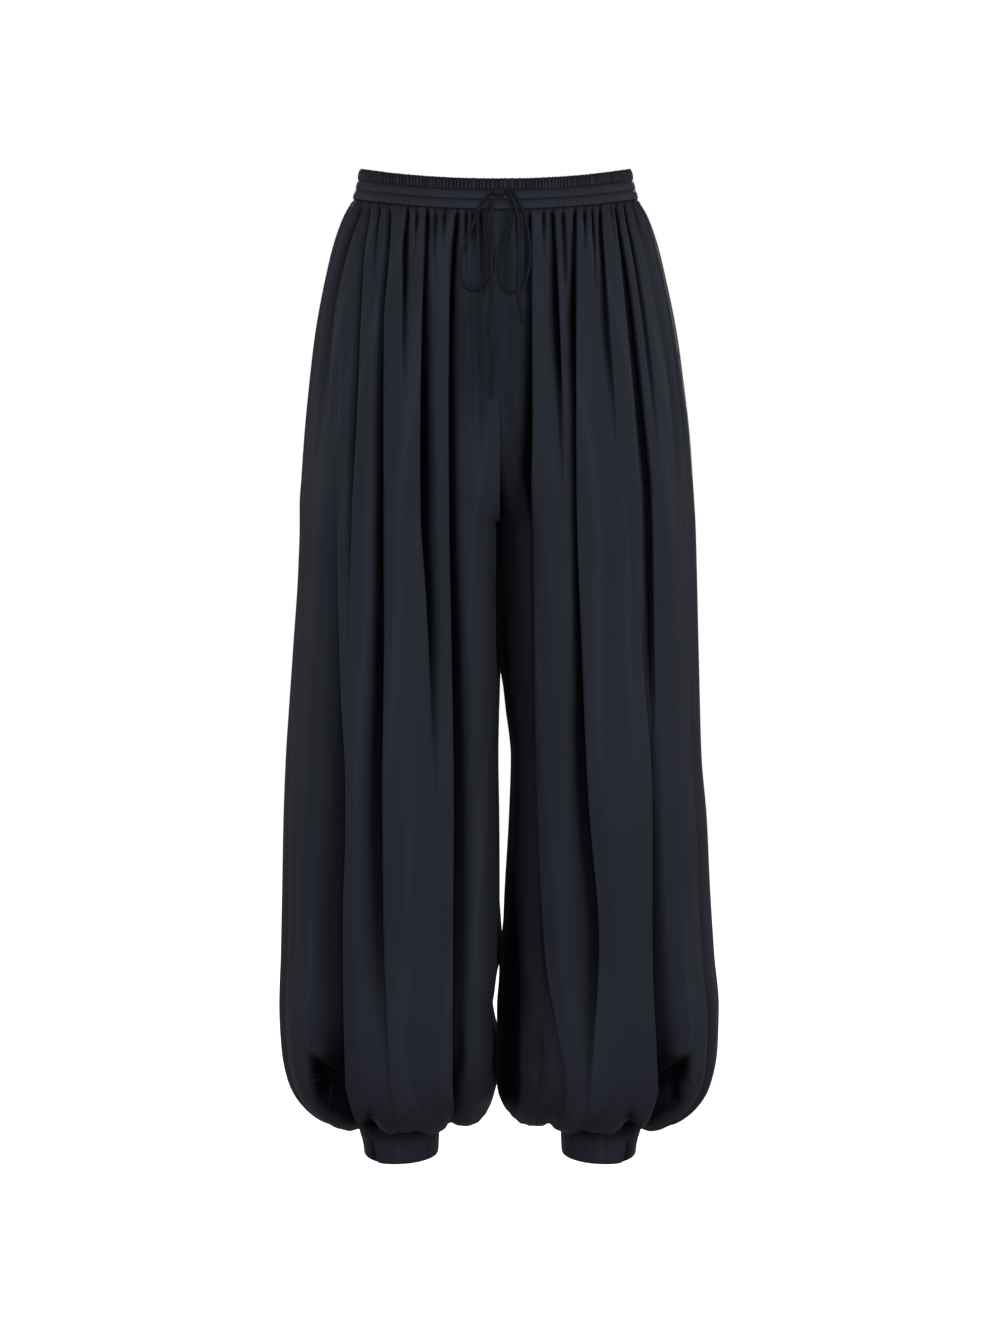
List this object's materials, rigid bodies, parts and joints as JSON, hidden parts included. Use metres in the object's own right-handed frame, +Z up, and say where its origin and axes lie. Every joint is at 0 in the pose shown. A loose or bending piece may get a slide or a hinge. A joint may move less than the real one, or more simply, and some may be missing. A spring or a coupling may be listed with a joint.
{
  "type": "balloon trousers",
  "caption": "Satin balloon trousers with a gathered drawstring waistband, long full legs that blouse over narrow ankle cuffs, and a bow at the front.",
  "frame": {"origin": "centre of the waistband, where the trousers are held", "axes": "+Z up along the legs towards the waist, -Y to the front, +X to the wearer's left"},
  "size_m": [0.456, 0.251, 1.0146],
  "materials": {
    "satin_cloth": "very dark navy satin with a soft sheen",
    "satin_trim": "the same satin, rolled into cord and over buttons"
  },
  "bodies": {
    "root": {"waistband": "satin_cloth", "leg_right_front": "satin_cloth", "leg_right_back": "satin_cloth", "leg_left_front": "satin_cloth", "leg_left_back": "satin_cloth", "cuff_right": "satin_cloth", "cuff_left": "satin_cloth", "button_right": "satin_trim", "button_left": "satin_trim", "drawcord_long": "satin_trim", "drawcord_short": "satin_trim", "drawcord_knot": "satin_trim"}
  },
  "joints": []
}
